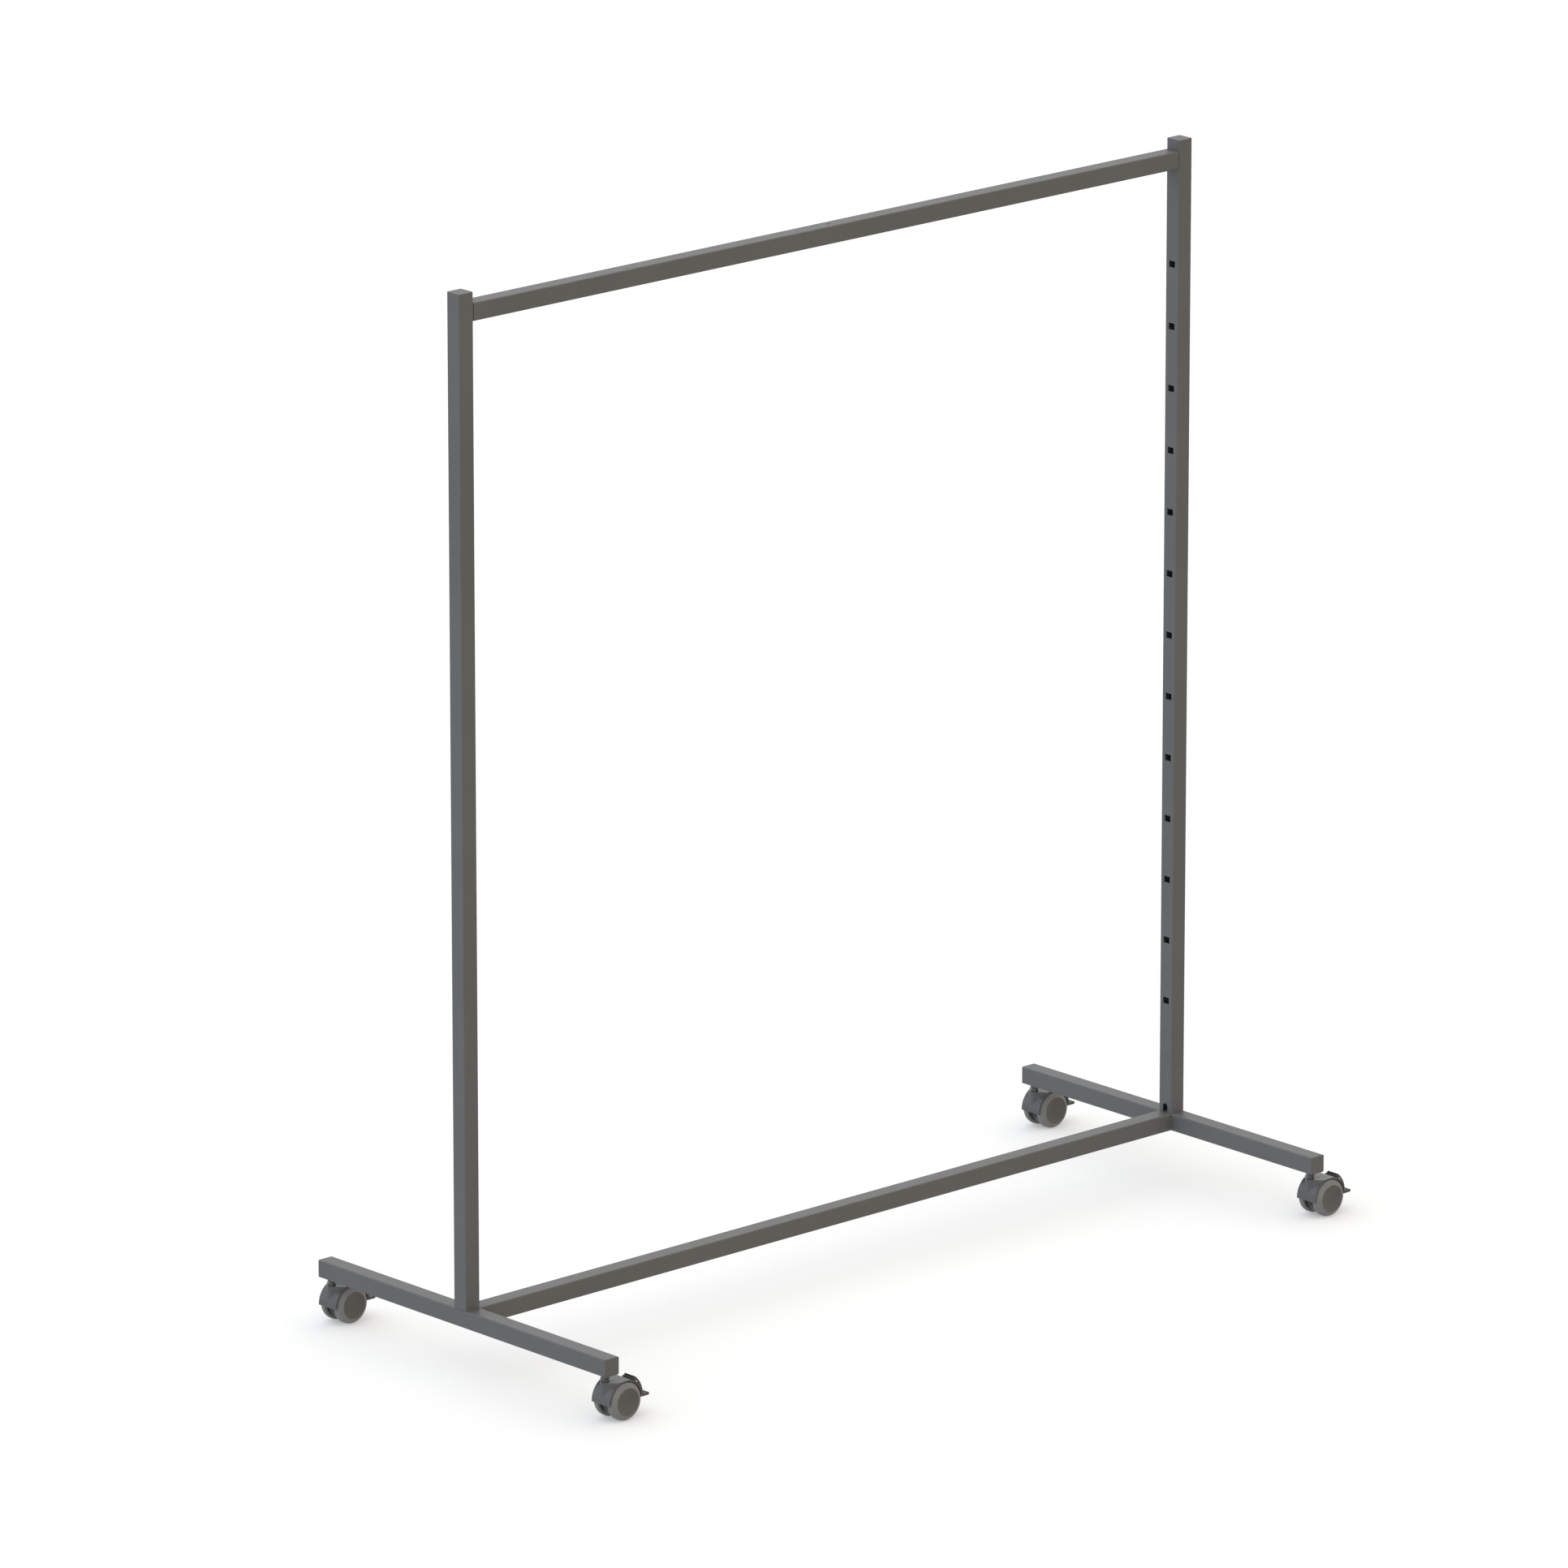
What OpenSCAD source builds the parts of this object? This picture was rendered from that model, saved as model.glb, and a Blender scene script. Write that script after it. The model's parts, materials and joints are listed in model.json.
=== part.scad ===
// Mobile retail panel frame: two slotted uprights on a wheeled base, tied by a top and a bottom bar.
// Millimetres. The origin is on the floor, midway between the four castor stems. +Z is up,
// +X runs along the bars from the left upright to the right one, and -Y is the front.

/* [Frame] */
// Overall width over the two uprights
frame_w = 1514; // [900:1:2000]
// Length of an upright, from the foot's top to the top of its tube
upright_len = 1583; // [900:1:2200]
// Length of a foot over its end caps
foot_len = 660; // [400:1:1000]
// Side of the square tube, the same for every member
tube = 28; // [23:0.5:40]
// Wall of the square tube
tube_wall = 1.5; // [1.2:0.1:2]
// Outer corner radius of the square tube
tube_r = 2; // [1.8:0.1:3]
// Drop of the top bar's upper face below the top of the upright's tube
bar_drop = 15.3; // [10:0.1:80]
// Shadow gap between the top bar's tube and each upright
bar_gap = 1.3; // [0.8:0.1:3]
// Inset of the end plate that fills the shadow gap
gap_inset = 2; // [1:0.1:3]

/* [Slots] */
// Distance from slot to slot
slot_pitch = 100; // [50:1:150]
// Distance from the top of the upright's tube to the centre of the first slot
slot_first = 198; // [100:1:300]
// Least distance from the last slot's centre to the foot
slot_last = 150; // [60:1:300]
// Width of a slot across the upright
slot_w = 13; // [6:0.1:16]
// Height of a slot
slot_h = 10.4; // [6:0.1:30]

/* [Fixings] */
// Width of the rounded notch at the foot of each upright
notch_w = 10.6; // [8:0.1:12]
// Height of the rounded notch
notch_h = 14.3; // [10:0.1:20]
// Diameter of the hole for a sign holder in the top bar
sign_hole_d = 4.6; // [3:0.1:8]
// Thread diameter of the bolt that holds an upright to its foot
bolt_d = 8; // [6:0.5:8]
// Diameter of that bolt's button head
bolt_head_d = 14; // [12:0.5:16]
// Height of that bolt's button head
bolt_head_h = 4.6; // [3:0.1:5]
// Clearance round a bolt in a plain hole
bolt_clear = 0.3; // [0.2:0.1:0.5]
// Thickness of a cap's head plate
cap_head = 2; // [1.5:0.1:3]
// Depth of a cap's skirt or cheeks inside the tube
cap_depth = 9; // [6:0.5:12]
// Clearance of a cap inside its tube
cap_clear = 0.1; // [0.05:0.05:0.2]

/* [Castor] */
// Distance of a castor stem from the foot's end
castor_inset = 15; // [14:0.5:60]
// Diameter of a castor wheel
wheel_d = 60; // [48:1:75]
// Horizontal distance from the swivel axis to the wheel axis
swivel_offset = 23.8; // [20:0.1:27]
// Height of the gap from the hood's top to the foot's underside
stem_gap = 12.1; // [10:0.1:20]
// Thread diameter of the castor stem
stem_thread_d = 10; // [8:0.5:10]
// Diameter of the plain neck of the stem
neck_d = 10.5; // [10:0.1:12]
// Diameter of the stem's collar where it meets the foot
collar_d = 17; // [13:0.5:20]
// Height of the collar's taper
collar_h = 8; // [5:0.5:9]
// Diameter of the swivel pin inside the hood
pin_d = 7.4; // [6:0.1:7.6]
// Half of the gap between the two wheels of a castor
wheel_gap = 10.8; // [9.6:0.1:12]
// Width of one wheel from its inner edge to the start of its bevel
tread_w = 10.5; // [9.5:0.1:16]
// Depth of the bevel on the outer side of a tyre
bevel_w = 3.7; // [3:0.1:5]
// Width of the bevelled ring between the tread and the dished face
bevel_ring = 8.5; // [7.5:0.1:11]
// Depth of the dish at its centre
dish_depth = 3.4; // [2:0.1:5]
// Axle diameter
axle_d = 6; // [5:0.1:7]
// Gap between tyre and hood
hood_clear = 1.5; // [0.8:0.1:2]
// Wall of the hood over the wheels
hood_wall = 2.1; // [1.5:0.1:3]
// How far each tyre's tread shows beside the hood
tread_show = 1.3; // [1:0.1:3]
// Radius of the rounded nose round the stem
nose_r = 8.3; // [7:0.1:9.5]

/* [Brake pedal] */
// Width of the pedal
pedal_w = 23.8; // [18:0.1:26]
// Thickness of the pedal's curved plate
pedal_t = 4.6; // [3.5:0.1:6]
// Gap between the hood and the pedal's curved plate
pedal_gap = 3.3; // [2.5:0.1:4]
// Reach of the foot tab behind the curved plate
tab_reach = 12.5; // [8:0.5:16]
// Thickness of the foot tab
tab_t = 3.8; // [3:0.1:5]
// Diameter of the pedal's pivot pin
pivot_d = 3; // [2:0.1:3.4]

/* [Hidden] */
$fn = 64;
RUN_FIT = 0.05;
SIDE_GAP = 0.4;
CUT = 1;
CASTORS = [["front_left", -1, -1], ["front_right", 1, -1], ["back_left", -1, 1], ["back_right", 1, 1]];
CASTOR_PARTS = ["stem", "hood", "axle", "wheel_outer", "wheel_inner", "tyre_outer", "tyre_inner",
                "pedal", "pedal_pin"];
FRAME_PARTS = ["upright_left", "upright_right", "top_cap_left", "top_cap_right", "base_plug_left",
               "base_plug_right", "top_bar", "bar_hook_left", "bar_hook_right", "bottom_bar",
               "foot_left", "foot_right", "foot_cap_front_left", "foot_cap_front_right",
               "foot_cap_back_left", "foot_cap_back_right", "base_bolts", "castor_nuts"];

// Frame places
tube_in = tube - 2 * tube_wall;
tube_in_r = tube_r - tube_wall;
axis_x = (frame_w - tube) / 2;
clear_w = frame_w - 2 * tube;
foot_y = foot_len / 2;
stem_y = foot_y - castor_inset;

// Castor places, with the swivel axis at x = 0 and the floor at z = 0
flat_drop = 1.2;
wheel_r = wheel_d / 2;
pocket_r = wheel_r + hood_clear;
drum_r = pocket_r + hood_wall;
hood_top = wheel_r + drum_r - flat_drop;
hood_w = 2 * (wheel_gap + tread_w - tread_show);
web_half = wheel_gap - SIDE_GAP;
face_y = wheel_gap + tread_w + bevel_w;
foot_z = hood_top + stem_gap;
foot_top = foot_z + tube;
upright_top = foot_top + upright_len;
bar_z = upright_top - bar_drop - tube / 2;
bottom_bar_z = foot_z + tube / 2;
slot_count = floor((upright_len - slot_first - slot_last) / slot_pitch) + 1;

// Hooks of the top bar
hook_t = 4;
hook_neck = 7;
hook_drop = 3;
hook_clear = 0.4;
hook_play = 0.2;
hook_plate = 2.4;
hook_plug = 14;
hook_spread = tube / 4 - hook_play;
hook_bottom = bar_z - hook_neck / 2;

// Walls of the plastic caps
cap_wall = 2;
cheek_t = 1.5;

// Base plug, bolts and nuts
plug_h = 12;
plug_lift = notch_h + 6;
bolt_len = tube + plug_lift + plug_h;
bolt_hex = 5;
bolt_hex_depth = 2.6;
dome_r = bolt_head_d * 0.62;
nut_h = 8;
nut_flats = 16;
stem_top = foot_z + tube_wall + nut_h + 2;

// Wheel sections
hub_wall = 3.5;
hub_r = axle_d / 2 + hub_wall;
hub_end = face_y - dish_depth - 0.5;
axle_end = hub_end - 3;
axle_play = 0.3;
face_r = wheel_r - bevel_ring;
flange_y = wheel_gap + tread_w - 1;
tyre_t = 4.6;
rim_r = wheel_r - tyre_t;
rim_t = 2;
disc_t = 2.6;
dish_rim = 0.5;
tyre_lip = 0.8;
shoulder = 1.2;
crown_r = 8;
crown_a = 62;

// Hood, round the wheel axis
pin_bottom = wheel_r + 7;
pin_end_gap = 1;
counterbore_r = neck_d / 2 + 1.3;
counterbore_h = 2;
neck_lift = 0.5;
flank_drop = 3;
front_edge = -1.7;
fender_end_a = 6;
core_r = wheel_r - 4.3;
core_wall = 2;
core_hub_r = axle_d / 2 + 4;
core_web = 2.5;
cell_span = 80;
cell_starts = [-162, -77, 8];
web_front_a = 60;
weld = 0.5;

// Pedal, round the wheel axis
window_half = pedal_w / 2 + SIDE_GAP;
ear_w = 2.8;
ear_r = pivot_d / 2 + 1.7;
pivot_r = drum_r + 2.6;
pivot_a = 44;
pedal_ri = drum_r + pedal_gap;
pedal_ro = pedal_ri + pedal_t;
pedal_top_a = 51;
pedal_low_a = -4;
tab_low = -3;
tab_tip = pedal_ro + tab_reach;
lip_r = 2.4;
fillet_r = 5;
shoe_t = 1.2;
pocket_end_a = pivot_a + 2.5;
pin_boss_r = pivot_d / 2 + 1.4;
pedal_skin = 1.3;
pedal_cheek = 1.6;

module rounded_square(side, r) {
  square([side - 2 * r, side], center = true);
  square([side, side - 2 * r], center = true);
  for (x = [-1, 1], y = [-1, 1]) translate([x * (side / 2 - r), y * (side / 2 - r)]) circle(r);
}

// Square tube standing on z = 0
module square_tube(len) {
  linear_extrude(len) difference() {
    rounded_square(tube, tube_r);
    rounded_square(tube_in, tube_in_r);
  }
}

// Square tube along x, centred
module tube_x(len) {
  translate([-len / 2, 0, 0]) rotate([90, 0, 90]) square_tube(len);
}

// Square tube along y, centred
module tube_y(len) {
  translate([0, len / 2, 0]) rotate([90, 0, 0]) square_tube(len);
}

// Cylinder along y, from y0 to y1
module rod_y(r, y0, y1) {
  translate([0, y1, 0]) rotate([90, 0, 0]) cylinder(r = r, h = y1 - y0);
}

// Profile drawn in x and z, extruded along y from y0 to y1
module plate_y(y0, y1) {
  translate([0, y1, 0]) rotate([90, 0, 0]) linear_extrude(y1 - y0) children();
}

// Sector of the plane between two angles, out to a far radius
module sector(a0, a1, far = 150) {
  mid = (a0 + a1) / 2;
  polygon([[0, 0], far * [cos(a0), sin(a0)], 1.3 * far * [cos(mid), sin(mid)], far * [cos(a1), sin(a1)]]);
}

module ring(ri, ro) {
  difference() {
    circle(ro);
    circle(ri);
  }
}

// Shapes of the left side; the right side is their mirror image
module on_side(side) {
  if (side < 0) children();
  else mirror([1, 0, 0]) children();
}

// Left upright: its slotted face looks along +x
module upright(side) {
  color("dimgray") on_side(side) translate([-axis_x, 0, 0]) difference() {
    translate([0, 0, foot_top]) square_tube(upright_len);
    for (i = [0 : slot_count - 1])
      translate([tube / 2, 0, upright_top - slot_first - i * slot_pitch])
        cube([2 * tube_wall + CUT, slot_w, slot_h], center = true);
    for (y = [-1, 1])
      translate([tube_in / 2 - CUT, y * hook_spread - hook_t / 2 - hook_clear, hook_bottom - hook_drop])
        cube([tube_wall + 2 * CUT, hook_t + 2 * hook_clear, hook_neck + hook_drop]);
    translate([tube_in / 2 - CUT, 0, foot_top + notch_h - notch_w / 2]) rotate([0, 90, 0])
      cylinder(d = notch_w, h = tube_wall + 2 * CUT);
    translate([tube_in / 2 - CUT, -notch_w / 2, foot_top - CUT])
      cube([tube_wall + 2 * CUT, notch_w, notch_h - notch_w / 2 + CUT]);
  }
}

module top_cap(side) {
  color("gray") on_side(side) translate([-axis_x, 0, upright_top]) {
    linear_extrude(cap_head) rounded_square(tube, tube_r);
    translate([0, 0, -cap_depth]) linear_extrude(cap_depth) difference() {
      rounded_square(tube_in - 2 * cap_clear, tube_in_r);
      square(tube_in - 2 * (cap_clear + cap_wall), center = true);
    }
  }
}

// Steel block welded inside the upright, threaded for the base bolt
module base_plug(side) {
  color("silver") on_side(side) translate([-axis_x, 0, foot_top + plug_lift]) difference() {
    linear_extrude(plug_h) rounded_square(tube_in, tube_in_r);
    translate([0, 0, -CUT]) cylinder(d = bolt_d + 2 * RUN_FIT, h = plug_h + 2 * CUT);
  }
}

module top_bar() {
  color("dimgray") translate([0, 0, bar_z]) difference() {
    tube_x(clear_w - 2 * bar_gap);
    translate([0, 0, tube_in / 2 - CUT]) cylinder(d = sign_hole_d, h = tube_wall + 2 * CUT);
  }
}

// End fitting of the top bar: a plug in the bar, a set-back plate and two hooks through the upright
module bar_hook(side) {
  neck_len = tube_wall + hook_play;
  color("silver") on_side(side) translate([-axis_x + tube / 2, 0, 0]) {
    translate([0, 0, bar_z]) rotate([90, 0, 90]) {
      linear_extrude(bar_gap) rounded_square(tube - 2 * gap_inset, tube_r);
      linear_extrude(bar_gap + hook_plug) rounded_square(tube_in, tube_in_r);
    }
    for (y = [-1, 1]) translate([0, y * hook_spread - hook_t / 2, hook_bottom]) {
      translate([-neck_len, 0, 0]) cube([neck_len, hook_t, hook_neck]);
      translate([-neck_len - hook_plate, 0, -hook_drop]) cube([hook_plate, hook_t, hook_neck + hook_drop]);
    }
  }
}

module bottom_bar() {
  color("dimgray") translate([0, 0, bottom_bar_z]) tube_x(clear_w);
}

module foot(side) {
  color("dimgray") on_side(side) translate([-axis_x, 0, foot_z + tube / 2]) difference() {
    tube_y(foot_len - 2 * cap_head);
    translate([0, 0, -tube]) cylinder(d = bolt_d + 2 * bolt_clear, h = 2 * tube);
    for (y = [-stem_y, stem_y])
      translate([0, y, -tube]) cylinder(d = stem_thread_d + 2 * bolt_clear, h = tube);
  }
}

module foot_cap(side, end) {
  color("dimgray") on_side(side) translate([-axis_x, 0, foot_z + tube / 2]) scale([1, end, 1]) {
    plate_y(foot_y - cap_head, foot_y) rounded_square(tube, tube_r);
    for (x = [-1, 1])
      plate_y(foot_y - cap_head - cap_depth, foot_y - cap_head)
        translate([x * (tube_in - 2 * cap_clear - cheek_t) / 2, 0])
          square([cheek_t, tube_in - 2 * cap_wall], center = true);
  }
}

module base_bolts() {
  color("silver") for (x = [-axis_x, axis_x]) translate([x, 0, foot_z]) difference() {
    union() {
      cylinder(d = bolt_d, h = bolt_len);
      button_head();
    }
    translate([0, 0, -bolt_head_h - CUT]) cylinder(d = bolt_hex / cos(30), h = bolt_hex_depth + CUT, $fn = 6);
  }
}

// Domed head below z = 0, cut from a sphere
module button_head() {
  intersection() {
    translate([0, 0, -bolt_head_h]) cylinder(d = bolt_head_d, h = bolt_head_h);
    translate([0, 0, -bolt_head_h + dome_r]) sphere(dome_r);
  }
}

module castor_nuts() {
  color("silver") for (x = [-axis_x, axis_x], y = [-stem_y, stem_y])
    translate([x, y, foot_z + tube_wall]) difference() {
      rotate(30) cylinder(d = nut_flats / cos(30), h = nut_h, $fn = 6);
      translate([0, 0, -CUT]) cylinder(d = stem_thread_d + 2 * RUN_FIT, h = nut_h + 2 * CUT);
    }
}

// Castor pieces, with the swivel axis on z and the floor at z = 0

module stem() {
  color("gray") {
    translate([0, 0, foot_z]) cylinder(d = stem_thread_d, h = stem_top - foot_z);
    translate([0, 0, foot_z - collar_h]) cylinder(d1 = neck_d, d2 = collar_d, h = collar_h);
    translate([0, 0, hood_top - counterbore_h + neck_lift])
      cylinder(d = neck_d, h = foot_z - collar_h - hood_top + counterbore_h - neck_lift);
    translate([0, 0, pin_bottom + pin_end_gap]) cylinder(d = pin_d, h = hood_top - pin_bottom);
  }
}

// Outline of the nose seen from above: a round front and straight flanks out to the hood's sides
module nose_outline() {
  corner = [swivel_offset - sqrt(drum_r * drum_r - pow(hood_top - wheel_r - flank_drop, 2)), hood_w / 2];
  flank = atan2(corner[1], corner[0]) + acos(nose_r / norm(corner));
  touch = nose_r * [cos(flank), sin(flank)];
  circle(nose_r);
  polygon([touch, corner, [swivel_offset, corner[1]], [swivel_offset, -corner[1]],
           [corner[0], -corner[1]], [touch[0], -touch[1]]]);
}

// Side outline of the hood round the wheel axis: open below, cut level at the front edge
module hood_side() {
  intersection() {
    circle(drum_r);
    polygon([[-2 * drum_r, front_edge], [0, front_edge], [0, 0],
             2 * drum_r * [cos(fender_end_a), sin(fender_end_a)],
             [2 * drum_r, hood_top - wheel_r], [-2 * drum_r, hood_top - wheel_r]]);
  }
}

// Round housing between the wheels, which carries the axle and the swivel pin
module hood_core() {
  difference() {
    plate_y(-web_half, web_half) {
      intersection() {
        circle(pocket_r + weld);
        polygon([[-2 * drum_r, front_edge], [0, front_edge],
                 2 * drum_r * [cos(web_front_a), sin(web_front_a)], [-2 * drum_r, 2 * drum_r]]);
      }
      circle(core_r);
    }
    for (a = cell_starts) {
      core_cell(a, -wheel_gap, -core_web);
      core_cell(a, core_web, wheel_gap);
    }
  }
}

// Cell in one side of the housing, between its hub, its rim and two ribs
module core_cell(start, y0, y1) {
  plate_y(y0, y1) intersection() {
    ring(core_hub_r, core_r - core_wall);
    sector(start, start + cell_span);
  }
}

// Pair of ears that hold the pedal's pin
module hood_ears() {
  for (y = [-1, 1]) plate_y(min(y * window_half, y * (window_half + ear_w)),
                            max(y * window_half, y * (window_half + ear_w)))
    rotate(pivot_a) {
      translate([pivot_r, 0]) circle(ear_r);
      translate([pocket_r + weld / 2, -ear_r]) square([pivot_r - pocket_r - weld / 2, 2 * ear_r]);
    }
}

module hood() {
  color("dimgray") difference() {
    union() {
      difference() {
        union() {
          translate([swivel_offset, 0, wheel_r]) plate_y(-hood_w / 2, hood_w / 2) hood_side();
          translate([0, 0, wheel_r]) linear_extrude(hood_top - wheel_r) nose_outline();
        }
        translate([swivel_offset, 0, wheel_r]) {
          rod_y(pocket_r, -hood_w, hood_w);
          plate_y(-window_half, window_half) difference() {
            sector(-20, pedal_top_a - 2);
            circle(pocket_r - 1);
          }
        }
      }
      translate([swivel_offset, 0, wheel_r]) {
        hood_core();
        hood_ears();
      }
    }
    translate([0, 0, pin_bottom]) cylinder(d = pin_d + 2 * RUN_FIT, h = hood_top);
    translate([0, 0, hood_top - counterbore_h]) cylinder(r = counterbore_r, h = drum_r);
    translate([swivel_offset, 0, wheel_r]) {
      rod_y(axle_d / 2, -hood_w, hood_w);
      rotate([0, -pivot_a, 0]) translate([pivot_r, 0, 0]) rod_y(pivot_d / 2, -hood_w, hood_w);
    }
  }
}

module axle() {
  color("silver") translate([swivel_offset, 0, wheel_r]) rod_y(axle_d / 2, -axle_end, axle_end);
}

// A body turned round the wheel axis: its outline has x as radius and y as distance from the middle
module turned(sign) {
  translate([swivel_offset, 0, wheel_r]) scale([1, sign, 1]) rotate([-90, 0, 0]) rotate_extrude() children();
}

// Wheel centre: hub, dished outer disc, flange behind the tyre's bevel and rim
module wheel(sign) {
  dish_lip = face_r - dish_rim;
  dish_r = (dish_lip * dish_lip + dish_depth * dish_depth) / (2 * dish_depth);
  disc_y = face_y - dish_depth - disc_t;
  color("gray") turned(sign) difference() {
    union() {
      translate([0, wheel_gap]) square([hub_r, hub_end - wheel_gap]);
      translate([0, disc_y]) square([face_r, face_y - disc_y]);
      translate([0, flange_y - rim_t]) square([rim_r, rim_t]);
      translate([rim_r - rim_t, wheel_gap + rim_t]) square([rim_t, flange_y - wheel_gap - rim_t]);
    }
    translate([-CUT, wheel_gap - CUT])
      square([axle_d / 2 + RUN_FIT + CUT, axle_end + axle_play - wheel_gap + CUT]);
    translate([0, face_y - dish_depth + dish_r]) circle(dish_r, $fn = 180);
  }
}

// Tyre: tread, small inner shoulder and a wide rounded outer one that runs into the bevel
module tyre(sign) {
  lip = [face_r + tyre_lip, face_y];
  crown_x = wheel_r - crown_r;
  crown_y = face_y - (crown_r - (lip[0] - crown_x) * cos(crown_a)) / sin(crown_a);
  color("darkgray") turned(sign) difference() {
    union() {
      polygon([[rim_r, wheel_gap], [wheel_r - shoulder, wheel_gap], [wheel_r, wheel_gap + shoulder],
               [wheel_r, crown_y], [crown_x, crown_y] + crown_r * [cos(crown_a), sin(crown_a)],
               lip, [face_r, face_y], [face_r, flange_y], [rim_r, flange_y]]);
      translate([wheel_r - shoulder, wheel_gap + shoulder]) circle(shoulder);
      translate([crown_x, crown_y]) intersection() {
        circle(crown_r);
        square(crown_r);
      }
    }
    translate([0, wheel_gap - CUT]) square([rim_r, flange_y - wheel_gap + CUT]);
    translate([0, wheel_gap - CUT]) square([face_r, face_y]);
  }
}

// Side outline of the pedal round the wheel axis
module pedal_side() {
  difference() {
    union() {
      intersection() {
        ring(pedal_ri, pedal_ro);
        sector(pedal_low_a, pedal_top_a);
      }
      translate([pedal_ri - shoe_t, tab_low]) square([tab_tip - lip_r - pedal_ri + shoe_t, tab_t]);
      translate([tab_tip - lip_r, tab_low + lip_r]) circle(lip_r);
      translate([pedal_ro - weld, tab_low + tab_t]) difference() {
        square(fillet_r);
        translate([fillet_r, fillet_r]) circle(fillet_r);
      }
      rotate(pivot_a) {
        translate([pivot_r, 0]) circle(pin_boss_r);
        translate([pivot_r, -pin_boss_r]) square([pedal_ri - pivot_r + pedal_skin, 2 * pin_boss_r]);
      }
    }
    rotate(pivot_a) translate([pivot_r, 0]) circle(pivot_d / 2 + RUN_FIT);
  }
}

module pedal() {
  color("dimgray") translate([swivel_offset, 0, wheel_r]) difference() {
    plate_y(-pedal_w / 2, pedal_w / 2) pedal_side();
    plate_y(-pedal_w / 2 + pedal_cheek, pedal_w / 2 - pedal_cheek) intersection() {
      ring(pedal_ri + pedal_skin, pedal_ro - pedal_skin);
      sector(pocket_end_a, pedal_top_a + 5);
    }
  }
}

module pedal_pin() {
  half = window_half + ear_w;
  color("silver") translate([swivel_offset, 0, wheel_r]) rotate([0, -pivot_a, 0]) translate([pivot_r, 0, 0])
    rod_y(pivot_d / 2, -half, half);
}

upright(-1);  // upright_left
upright(1);  // upright_right
top_cap(-1);  // top_cap_left
top_cap(1);  // top_cap_right
base_plug(-1);  // base_plug_left
base_plug(1);  // base_plug_right
top_bar();
bar_hook(-1);  // bar_hook_left
bar_hook(1);  // bar_hook_right
bottom_bar();
foot(-1);  // foot_left
foot(1);  // foot_right
foot_cap(-1, -1);  // foot_cap_front_left
foot_cap(1, -1);  // foot_cap_front_right
foot_cap(-1, 1);  // foot_cap_back_left
foot_cap(1, 1);  // foot_cap_back_right
base_bolts();
castor_nuts();
for (c = CASTORS) translate([c[1] * axis_x, c[2] * stem_y, 0]) {
  stem();
  hood();
  axle();
  wheel(c[2]);
  wheel(-c[2]);
  tyre(c[2]);
  tyre(-c[2]);
  pedal();
  pedal_pin();
}
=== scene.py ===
"""Looks of the mobile panel frame: powder-coated tubes, moulded castors, floor, light and camera."""

import json
import math

import bmesh
import bpy
from mathutils import Matrix, Vector


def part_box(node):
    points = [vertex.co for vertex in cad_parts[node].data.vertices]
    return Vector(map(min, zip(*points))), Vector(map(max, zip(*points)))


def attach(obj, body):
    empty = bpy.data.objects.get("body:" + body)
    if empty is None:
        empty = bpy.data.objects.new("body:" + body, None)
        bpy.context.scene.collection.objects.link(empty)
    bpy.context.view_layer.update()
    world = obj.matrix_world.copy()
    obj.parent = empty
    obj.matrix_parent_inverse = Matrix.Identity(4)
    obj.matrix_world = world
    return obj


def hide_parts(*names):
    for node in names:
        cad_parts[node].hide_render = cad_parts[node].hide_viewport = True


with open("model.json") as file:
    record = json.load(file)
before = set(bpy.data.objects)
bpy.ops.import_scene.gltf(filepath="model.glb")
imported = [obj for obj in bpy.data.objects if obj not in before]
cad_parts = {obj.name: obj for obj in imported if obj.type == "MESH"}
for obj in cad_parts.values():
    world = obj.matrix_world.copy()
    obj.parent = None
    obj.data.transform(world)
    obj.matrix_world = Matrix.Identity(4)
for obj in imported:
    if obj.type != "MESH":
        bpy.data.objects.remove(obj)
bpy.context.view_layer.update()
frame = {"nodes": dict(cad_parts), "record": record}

CASTORS = ("front_left", "front_right", "back_left", "back_right")
MM = 0.001

# Castor wheel, in metres
BEVEL_RING = 8.5 * MM
TYRE_LIP = 0.8 * MM
TYRE_SHOULDER = 1.2 * MM
TYRE_CROWN = 8 * MM
CROWN_ANGLE = 62
FLANGE_DEPTH = 4.7 * MM
RIM_WALL = 2 * MM
HUB_RADIUS = 6.5 * MM
BORE_RADIUS = 3.05 * MM
AXLE_PLAY = 0.3 * MM
DISH_DEPTH = 3.4 * MM
DISH_STEPS = 12

# Painted shade: the castor's housing is coloured near black below the hood's lip, where shade falls between
# the wheels
HOOD_LIP = 28.2 * MM


# ---------------------------------------------------------------- materials


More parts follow.
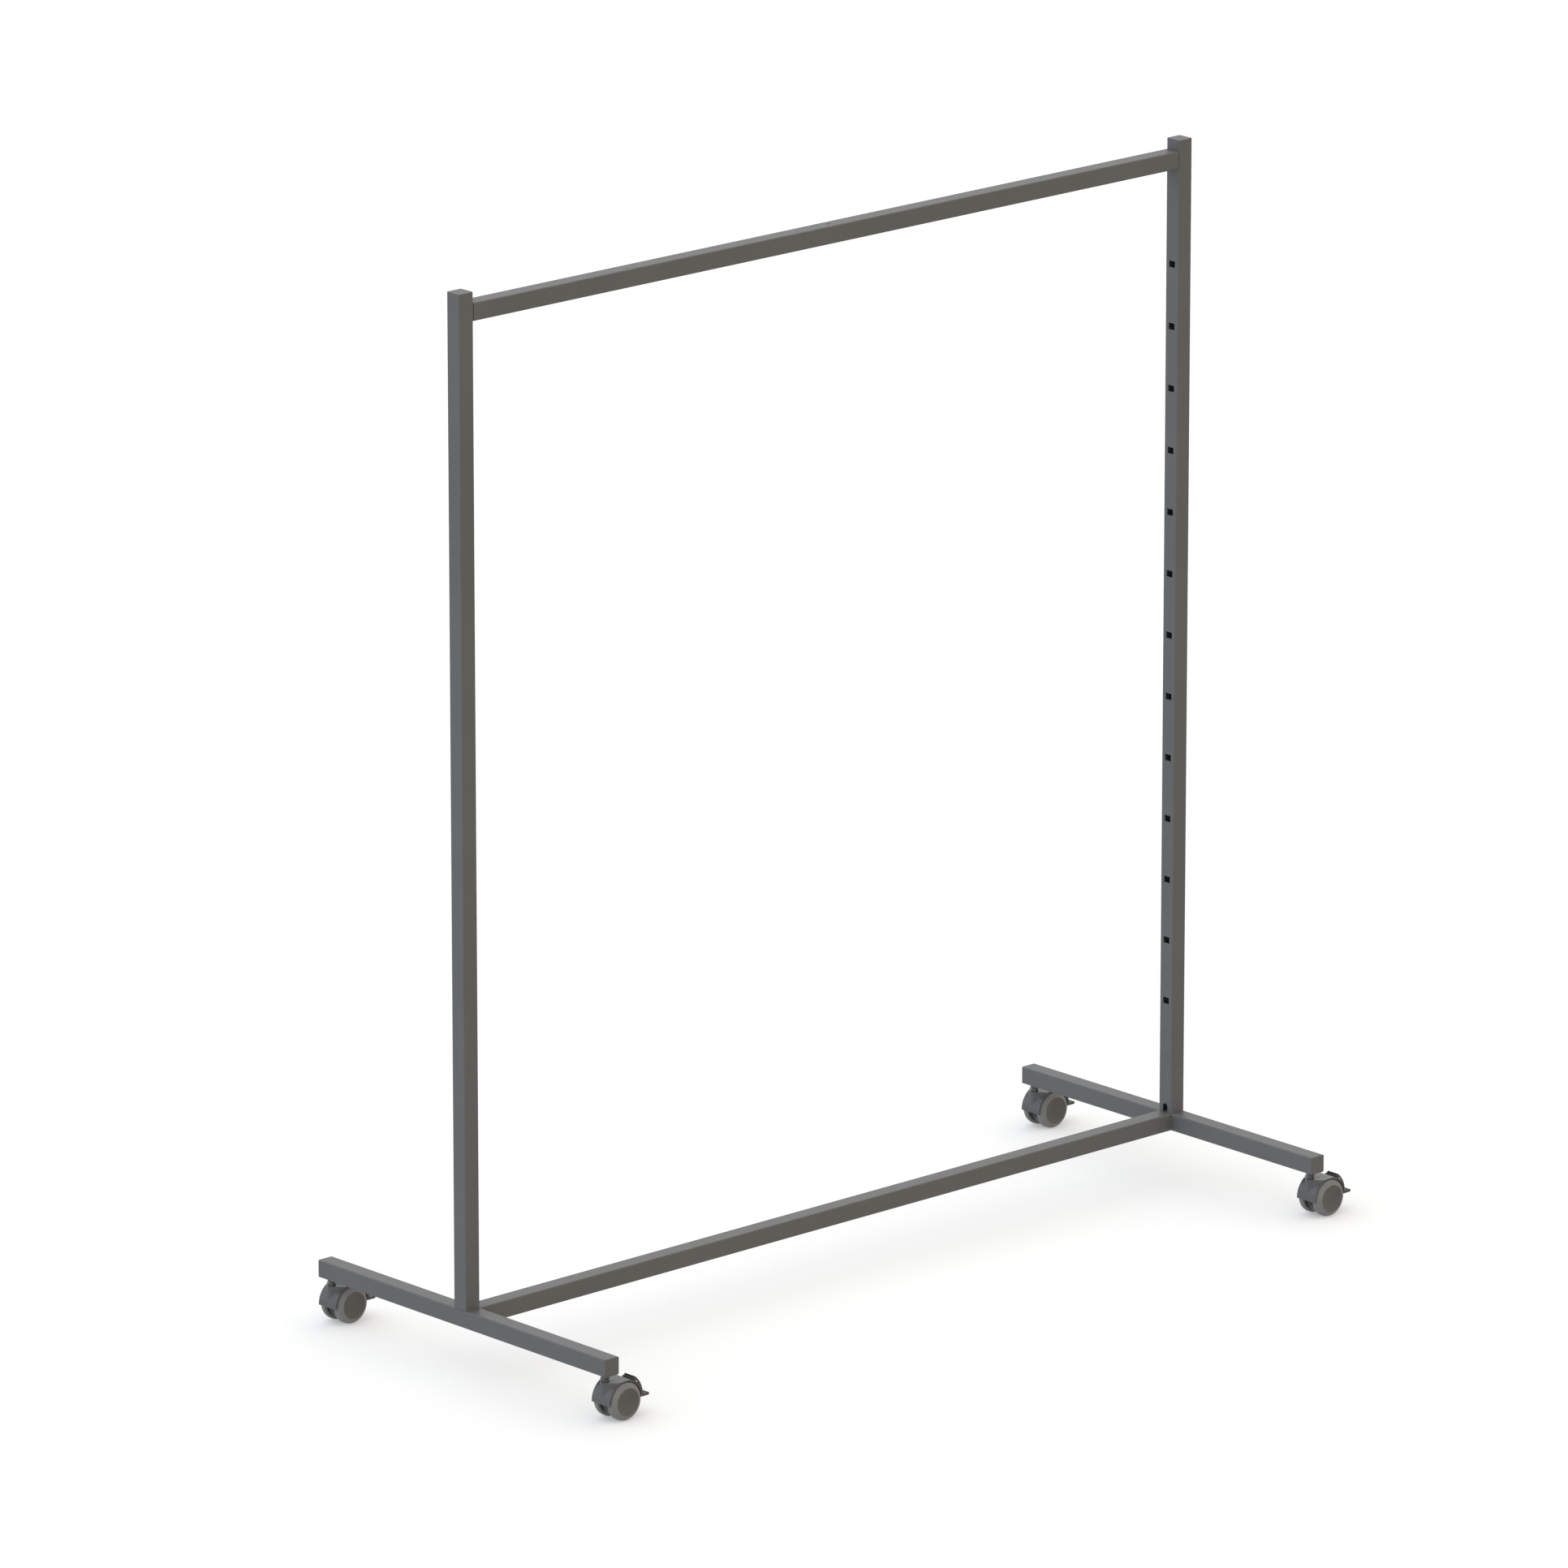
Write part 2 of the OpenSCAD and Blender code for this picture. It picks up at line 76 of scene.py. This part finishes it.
class Nodes:
    """Short calls for making one material's nodes."""

    def __init__(self, name):
        self.material = bpy.data.materials.new(name)
        self.material.use_nodes = True
        self.tree = self.material.node_tree
        self.shader = self.tree.nodes["Principled BSDF"]
        self.coords = self.tree.nodes.new("ShaderNodeTexCoord").outputs["Object"]

    def add(self, kind, **values):
        node = self.tree.nodes.new(kind)
        for key, value in values.items():
            setattr(node, key, value)
        return node

    def link(self, source, target):
        self.tree.links.new(source, target)

    def stretched(self, scale):
        mapping = self.add("ShaderNodeMapping")
        mapping.inputs["Scale"].default_value = scale
        self.link(self.coords, mapping.inputs["Vector"])
        return mapping.outputs["Vector"]

    def noise(self, scale, detail=2.0, roughness=0.5, vector=None):
        node = self.add("ShaderNodeTexNoise")
        node.inputs["Scale"].default_value = scale
        node.inputs["Detail"].default_value = detail
        node.inputs["Roughness"].default_value = roughness
        self.link(vector or self.coords, node.inputs["Vector"])
        return node.outputs["Fac"]

    def cells(self, scale, vector=None):
        node = self.add("ShaderNodeTexVoronoi", feature="SMOOTH_F1")
        node.inputs["Scale"].default_value = scale
        node.inputs["Smoothness"].default_value = 0.6
        self.link(vector or self.coords, node.inputs["Vector"])
        return node.outputs["Distance"]

    def remap(self, value, low, high, start=0.3, end=0.7):
        node = self.add("ShaderNodeMapRange", clamp=True)
        node.inputs["From Min"].default_value = start
        node.inputs["From Max"].default_value = end
        node.inputs["To Min"].default_value = low
        node.inputs["To Max"].default_value = high
        self.link(value, node.inputs["Value"])
        return node.outputs["Result"]

    def blend(self, factor, first, second):
        node = self.add("ShaderNodeMix", data_type="RGBA")
        for socket, colour in ((node.inputs[6], first), (node.inputs[7], second)):
            if isinstance(colour, tuple):
                socket.default_value = (*colour, 1.0)
            else:
                self.link(colour, socket)
        self.link(factor, node.inputs[0])
        return node.outputs[2]

    def bump(self, height, distance, strength=1.0, below=None):
        node = self.add("ShaderNodeBump")
        node.inputs["Distance"].default_value = distance
        node.inputs["Strength"].default_value = strength
        self.link(height, node.inputs["Height"])
        if below is not None:
            self.link(below, node.inputs["Normal"])
        return node.outputs["Normal"]

    def finish(self, colour, roughness, normal):
        self.link(colour, self.shader.inputs["Base Color"])
        self.link(roughness, self.shader.inputs["Roughness"])
        self.link(normal, self.shader.inputs["Normal"])
        return self.material


def shade(colour, amount):
    return tuple(min(1.0, c * amount) for c in colour)


def powder_coat():
    """Dark grey powder coat: pebbled skin with fine light specks and faint flow marks."""
    grey = (0.134, 0.135, 0.134)
    n = Nodes("powder_coat")
    tone = n.remap(n.noise(9.0, detail=4.0), 0.0, 1.0)
    base = n.blend(tone, shade(grey, 0.955), shade(grey, 1.045))
    pebble = n.cells(1500.0)
    speck = n.remap(n.noise(2600.0, detail=3.0), 0.0, 1.0, 0.52, 0.74)
    colour = n.blend(speck, base, shade(grey, 1.22))
    rough = n.remap(n.noise(420.0, detail=4.0), 0.36, 0.48)
    flow = n.bump(n.noise(240.0, detail=1.0), 0.00016)
    n.shader.inputs["Specular IOR Level"].default_value = 0.5
    return n.finish(colour, rough, n.bump(pebble, 0.00006, below=flow))


def zinc_steel():
    """Zinc plated steel with a faint crystalline haze and turning marks."""
    n = Nodes("zinc_steel")
    haze = n.remap(n.cells(520.0), 0.0, 1.0, 0.1, 0.7)
    colour = n.blend(haze, (0.5, 0.51, 0.52), (0.62, 0.62, 0.6))
    marks = n.noise(900.0, detail=3.0, vector=n.stretched((1.0, 1.0, 12.0)))
    rough = n.remap(marks, 0.24, 0.42)
    n.shader.inputs["Metallic"].default_value = 1.0
    return n.finish(colour, rough, n.bump(marks, 0.00002))


def satin_steel():
    """Dark satin steel of the castor stem."""
    n = Nodes("castor_steel")
    tone = n.remap(n.noise(60.0, detail=3.0), 0.0, 1.0)
    colour = n.blend(tone, (0.1, 0.101, 0.102), (0.12, 0.121, 0.122))
    marks = n.noise(1100.0, detail=3.0, vector=n.stretched((1.0, 1.0, 8.0)))
    n.shader.inputs["Specular IOR Level"].default_value = 0.55
    return n.finish(colour, n.remap(marks, 0.34, 0.48), n.bump(marks, 0.00002))


def moulded(name, grey, rough_low, rough_high, grain=0.00004, painted_shade_below=None):
    """Spark-eroded plastic: fine grain, slow changes of tone and gloss, and painted shade in near black below
    a height.
    """
    n = Nodes(name)
    tone = n.remap(n.noise(38.0, detail=3.0), 0.0, 1.0)
    base = n.blend(tone, shade(grey, 0.95), shade(grey, 1.05))
    fine = n.noise(3000.0, detail=4.0, roughness=0.6)
    colour = n.blend(n.remap(fine, 0.0, 1.0, 0.5, 0.75), base, shade(grey, 1.14))
    if painted_shade_below is not None:
        height = n.add("ShaderNodeSeparateXYZ")
        n.link(n.coords, height.inputs["Vector"])
        above = n.remap(height.outputs["Z"], 0.0, 1.0, painted_shade_below - 0.0002, painted_shade_below)
        # Painted shade: near black below the height, standing in for the shade that falls between the wheels
        colour = n.blend(above, (0.012, 0.012, 0.012), colour)
    rough = n.remap(n.noise(150.0, detail=4.0), rough_low, rough_high)
    n.shader.inputs["Specular IOR Level"].default_value = 0.45
    return n.finish(colour, rough, n.bump(fine, grain))


def tyre_rubber():
    """Grey thermoplastic rubber, matt, with a little floor dirt low in its grain."""
    grey = (0.238, 0.238, 0.232)
    n = Nodes("tyre_rubber")
    dirt = n.remap(n.noise(95.0, detail=6.0, roughness=0.62), 0.0, 1.0, 0.42, 0.72)
    base = n.blend(dirt, shade(grey, 1.03), shade(grey, 0.9))
    fine = n.noise(2200.0, detail=4.0, roughness=0.6)
    colour = n.blend(n.remap(fine, 0.0, 1.0, 0.5, 0.78), base, shade(grey, 1.12))
    n.shader.inputs["Specular IOR Level"].default_value = 0.3
    return n.finish(colour, n.remap(dirt, 0.62, 0.78), n.bump(fine, 0.00005))


MATERIALS = {
    "powder_coat": powder_coat(),
    "zinc_steel": zinc_steel(),
    "castor_steel": satin_steel(),
    # castor_plastic gets painted shade in near black below the hood's lip
    "castor_plastic": moulded("castor_plastic", (0.118, 0.119, 0.12), 0.24, 0.34, painted_shade_below=HOOD_LIP),
    "pedal_plastic": moulded("pedal_plastic", (0.09, 0.091, 0.092), 0.3, 0.42),
    "wheel_plastic": moulded("wheel_plastic", (0.118, 0.118, 0.115), 0.34, 0.46),
    "tyre_rubber": tyre_rubber(),
}


def paint_cad_nodes():
    """Give every CAD node the material of its slot in the record."""
    slots = {part["node"]: part["material_slot"] for part in frame["record"]["subparts"]}
    for name, node in frame["nodes"].items():
        node.data.materials.clear()
        node.data.materials.append(MATERIALS[slots[name]])


# ---------------------------------------------------------------- pieces


def put(name, mesh, body, material, *replaced):
    """A new piece on its body, in place of its CAD nodes."""
    piece = bpy.data.objects.new(name, mesh)
    bpy.context.scene.collection.objects.link(piece)
    mesh.materials.clear()
    mesh.materials.append(MATERIALS[material])
    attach(piece, body)
    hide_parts(*replaced)
    return piece


def settled(piece):
    """The piece with its modifiers applied."""
    graph = bpy.context.evaluated_depsgraph_get()
    final = bpy.data.meshes.new_from_object(piece.evaluated_get(graph))
    piece.modifiers.clear()
    old = piece.data
    piece.data = final
    bpy.data.meshes.remove(old)
    return piece


def smooth(mesh, angle):
    """Smooth shading, kept sharp at edges over an angle in degrees."""
    for polygon in mesh.polygons:
        polygon.use_smooth = True
    mesh.set_sharp_from_angle(angle=math.radians(angle))


def softened(node, name, body, material, width, angle=28.0, segments=3):
    """A copy of a CAD node with its sharp edges rounded."""
    shape = bmesh.new()
    shape.from_mesh(frame["nodes"][node].data)
    bmesh.ops.remove_doubles(shape, verts=shape.verts, dist=2e-6)
    bmesh.ops.dissolve_limit(
        shape, angle_limit=math.radians(0.4), verts=shape.verts, edges=shape.edges
    )
    mesh = bpy.data.meshes.new(name)
    shape.to_mesh(mesh)
    shape.free()
    smooth(mesh, angle)
    piece = put(name, mesh, body, material, node)
    bevel = piece.modifiers.new("edge", "BEVEL")
    bevel.width = width
    bevel.segments = segments
    bevel.limit_method = "ANGLE"
    bevel.angle_limit = math.radians(angle)
    bevel.use_clamp_overlap = True
    bevel.harden_normals = True
    bevel.miter_outer = "MITER_ARC"
    return settled(piece)


def rounded(points, radii, steps=8):
    """The outline through points, with every corner but the ends rounded to its radius."""
    line = []
    last = len(points) - 1
    for i, (point, radius) in enumerate(zip(points, radii)):
        here = Vector(point)
        if radius == 0 or i in (0, last):
            line.append(here)
            continue
        before = (Vector(points[i - 1]) - here).normalized()
        after = (Vector(points[i + 1]) - here).normalized()
        half = before.angle(after) / 2
        reach = radius / math.tan(half)
        centre = here + (before + after).normalized() * (radius / math.sin(half))
        first, second = here + before * reach - centre, here + after * reach - centre
        turn = first.angle_signed(second)
        for step in range(steps + 1):
            line.append(centre + Matrix.Rotation(-turn * step / steps, 2) @ first)
    return line


def lathe(name, outline, axis, side, turns=96):
    """The outline of (radius, distance from the middle) turned about a line along y through axis."""
    shape = bmesh.new()
    rings = []
    for radius, reach in outline:
        if radius < 1e-7:
            rings.append([shape.verts.new((axis.x, axis.y + side * reach, axis.z))])
            continue
        ring = []
        for i in range(turns):
            a = 2 * math.pi * i / turns
            spot = (axis.x + radius * math.cos(a), axis.y + side * reach, axis.z + radius * math.sin(a))
            ring.append(shape.verts.new(spot))
        rings.append(ring)
    for first, second in zip(rings, rings[1:]):
        for i in range(turns):
            j = (i + 1) % turns
            corners = [first[i % len(first)], first[j % len(first)]]
            corners += [second[j % len(second)], second[i % len(second)]]
            unique = list(dict.fromkeys(corners))
            if len(unique) > 2:
                shape.faces.new(unique)
    bmesh.ops.remove_doubles(shape, verts=shape.verts, dist=1e-7)
    bmesh.ops.recalc_face_normals(shape, faces=shape.faces)
    mesh = bpy.data.meshes.new(name)
    shape.to_mesh(mesh)
    shape.free()
    smooth(mesh, 32.0)
    return mesh


def tyre_outline(radius, rim, inner, face):
    """Closed section of a tyre: tread, small inner shoulder, wide crown and bevel down to the disc."""
    disc = radius - BEVEL_RING
    lip = disc + TYRE_LIP
    flange = face - FLANGE_DEPTH
    corner = face - (radius - lip) / math.tan(math.radians(CROWN_ANGLE))
    points = [(rim, inner), (radius, inner), (radius, corner), (lip, face)]
    points += [(disc, face), (disc, flange), (rim, flange), (rim, inner)]
    return rounded(points, [0, TYRE_SHOULDER, TYRE_CROWN, 0.4 * MM, 0.15 * MM, 0, 0, 0])


def disc_outline(radius, rim, inner, face, axle_end):
    """Section of a wheel centre from its blind bore round its rim to the middle of the dish."""
    disc = radius - BEVEL_RING
    flange = face - FLANGE_DEPTH
    back = flange - RIM_WALL
    bore_end = axle_end + AXLE_PLAY
    rim_in, rim_low = rim - RIM_WALL, inner + RIM_WALL
    points = [(0, bore_end), (BORE_RADIUS, bore_end), (BORE_RADIUS, inner)]
    points += [(HUB_RADIUS, inner), (HUB_RADIUS, back), (rim_in, back), (rim_in, rim_low)]
    points += [(rim, rim_low), (rim, flange), (disc, flange)]
    radii = [0] * len(points)
    dish = disc - 0.5 * MM
    points += [(disc, face), (dish, face)]
    radii += [0.15 * MM, 0.5 * MM]
    hollow = dish_curve(dish, face)
    return rounded(points + hollow, radii + [0] * len(hollow))


def dish_curve(lip, face):
    """Points of the hollow of a dish, from just inside its lip to its middle."""
    curve = (lip**2 + DISH_DEPTH**2) / (2 * DISH_DEPTH)
    reach = [lip * (1 - i / DISH_STEPS) for i in range(1, DISH_STEPS + 1)]
    return [(r, face - DISH_DEPTH + curve - math.sqrt(curve**2 - r**2)) for r in reach]


def turned_wheel(castor, which):
    """Wheel centre and tyre of one wheel, turned smooth about the CAD wheel's own axis."""
    body = f"{castor}_{which}_wheel"
    low, high = (Vector(corner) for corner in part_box(f"{castor}_tyre_{which}"))
    axle_low, axle_high = (Vector(corner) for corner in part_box(castor + "_axle"))
    rim_low, rim_high = (Vector(corner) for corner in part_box(f"{castor}_wheel_{which}"))
    axis = (axle_low + axle_high) / 2
    side = 1 if low.y > axis.y else -1
    inner, face = sorted((abs(low.y - axis.y), abs(high.y - axis.y)))
    radius, rim = (high.z - low.z) / 2, (rim_high.z - rim_low.z) / 2
    tyre = tyre_outline(radius, rim, inner, face)
    disc = disc_outline(radius, rim, inner, face, (axle_high.y - axle_low.y) / 2)
    tyre_mesh = lathe(f"{castor}_tyre_{which}_turned", tyre, axis, side)
    disc_mesh = lathe(f"{castor}_wheel_{which}_turned", disc, axis, side)
    put(tyre_mesh.name, tyre_mesh, body, "tyre_rubber", f"{castor}_tyre_{which}")
    put(disc_mesh.name, disc_mesh, body, "wheel_plastic", f"{castor}_wheel_{which}")


paint_cad_nodes()
for castor in CASTORS:
    softened(castor + "_hood", castor + "_hood_shell", castor + "_castor", "castor_plastic", 0.0006)
    softened(castor + "_pedal", castor + "_pedal_plate", castor + "_brake_pedal", "pedal_plastic", 0.0005)
    for which in ("outer", "inner"):
        turned_wheel(castor, which)


# ---------------------------------------------------------------- floor, light and camera


def floor():
    """Plain white floor, which doesn't light or mirror itself in the object."""
    bpy.ops.mesh.primitive_plane_add(size=80, location=(0, 0, 0))
    plane = bpy.context.object
    plane.name = "floor"
    plane.location.z = -0.0002
    n = Nodes("floor")
    tone = n.remap(n.noise(1.5, detail=2.0), 0.0, 1.0)
    n.shader.inputs["Specular IOR Level"].default_value = 0.1
    n.shader.inputs["Roughness"].default_value = 0.9
    n.link(n.blend(tone, (0.84, 0.84, 0.84), (0.86, 0.86, 0.86)), n.shader.inputs["Base Color"])
    n.shader.inputs["Emission Color"].default_value = (1.0, 1.0, 1.0, 1.0)
    n.shader.inputs["Emission Strength"].default_value = 0.26
    plane.data.materials.append(n.material)
    plane.visible_diffuse = False
    plane.visible_glossy = False


def sky():
    """White studio dome, dimmer below the horizon, cool from the back left, warm from the front right."""
    world = bpy.data.worlds.new("studio")
    bpy.context.scene.world = world
    world.use_nodes = True
    tree = world.node_tree

    def measure(direction, low, high):
        dot = tree.nodes.new("ShaderNodeVectorMath")
        dot.operation = "DOT_PRODUCT"
        dot.inputs[1].default_value = direction
        spread = tree.nodes.new("ShaderNodeMapRange")
        spread.inputs["From Min"].default_value = low
        spread.inputs["From Max"].default_value = high
        tree.links.new(coords.outputs["Generated"], dot.inputs[0])
        tree.links.new(dot.outputs["Value"], spread.inputs["Value"])
        return spread.outputs["Result"]

    def ramp(factor, stops):
        node = tree.nodes.new("ShaderNodeValToRGB")
        while len(node.color_ramp.elements) < len(stops):
            node.color_ramp.elements.new(0.5)
        for element, (place, colour) in zip(node.color_ramp.elements, stops):
            element.position = place
            element.color = (*colour, 1.0)
        tree.links.new(factor, node.inputs["Fac"])
        return node.outputs["Color"]

    def mixed(kind, factor, first, second):
        node = tree.nodes.new("ShaderNodeMix")
        node.data_type, node.blend_type = "RGBA", kind
        for socket, value in zip((node.inputs[0], node.inputs[6], node.inputs[7]), (factor, first, second)):
            if isinstance(value, (float, tuple)):
                socket.default_value = value
            else:
                tree.links.new(value, socket)
        return node.outputs[2]

    coords = tree.nodes.new("ShaderNodeTexCoord")
    levels = ((0.0, 0.6), (0.47, 0.62), (0.53, 0.98), (0.75, 1.0), (1.0, 1.0))
    height = ramp(measure((0, 0, 1), -1.0, 1.0), [(place, (level,) * 3) for place, level in levels])
    cool_side = measure((-0.707, 0.707, 0), -1.0, 1.0)
    tint = ramp(cool_side, [(0.0, (0.83, 0.74, 0.62)), (0.5, (0.93, 0.93, 0.925)), (1.0, (1.03, 1.12, 1.23))])
    light = mixed("MULTIPLY", 1.0, height, tint)
    seen = tree.nodes.new("ShaderNodeLightPath").outputs["Is Camera Ray"]
    tree.links.new(mixed("MIX", seen, light, (1.0, 1.0, 1.0, 1.0)), tree.nodes["Background"].inputs["Color"])


def camera():
    """The photograph's viewing angle, from far off with a long lens."""
    azimuth, elevation = math.radians(-42.46), math.radians(15.94)
    back = Vector(
        (
            math.sin(azimuth) * math.cos(elevation),
            -math.cos(azimuth) * math.cos(elevation),
            math.sin(elevation),
        )
    )
    right = Vector((math.cos(azimuth), math.sin(azimuth), 0.0))
    up = back.cross(right)
    aim = Vector((0, 0, 0.85)) + right * -0.0674 + up * -0.0627
    data = bpy.data.cameras.new("camera")
    data.lens = 303.2
    data.sensor_width = 36.0
    data.clip_start, data.clip_end = 0.5, 200.0
    eye = bpy.data.objects.new("camera", data)
    bpy.context.scene.collection.objects.link(eye)
    eye.location = aim + back * 20.3
    eye.rotation_mode = "QUATERNION"
    eye.rotation_quaternion = (-back).to_track_quat("-Z", "Y")
    bpy.context.scene.camera = eye


floor()
sky()
camera()
bpy.context.scene.view_settings.view_transform = "Standard"
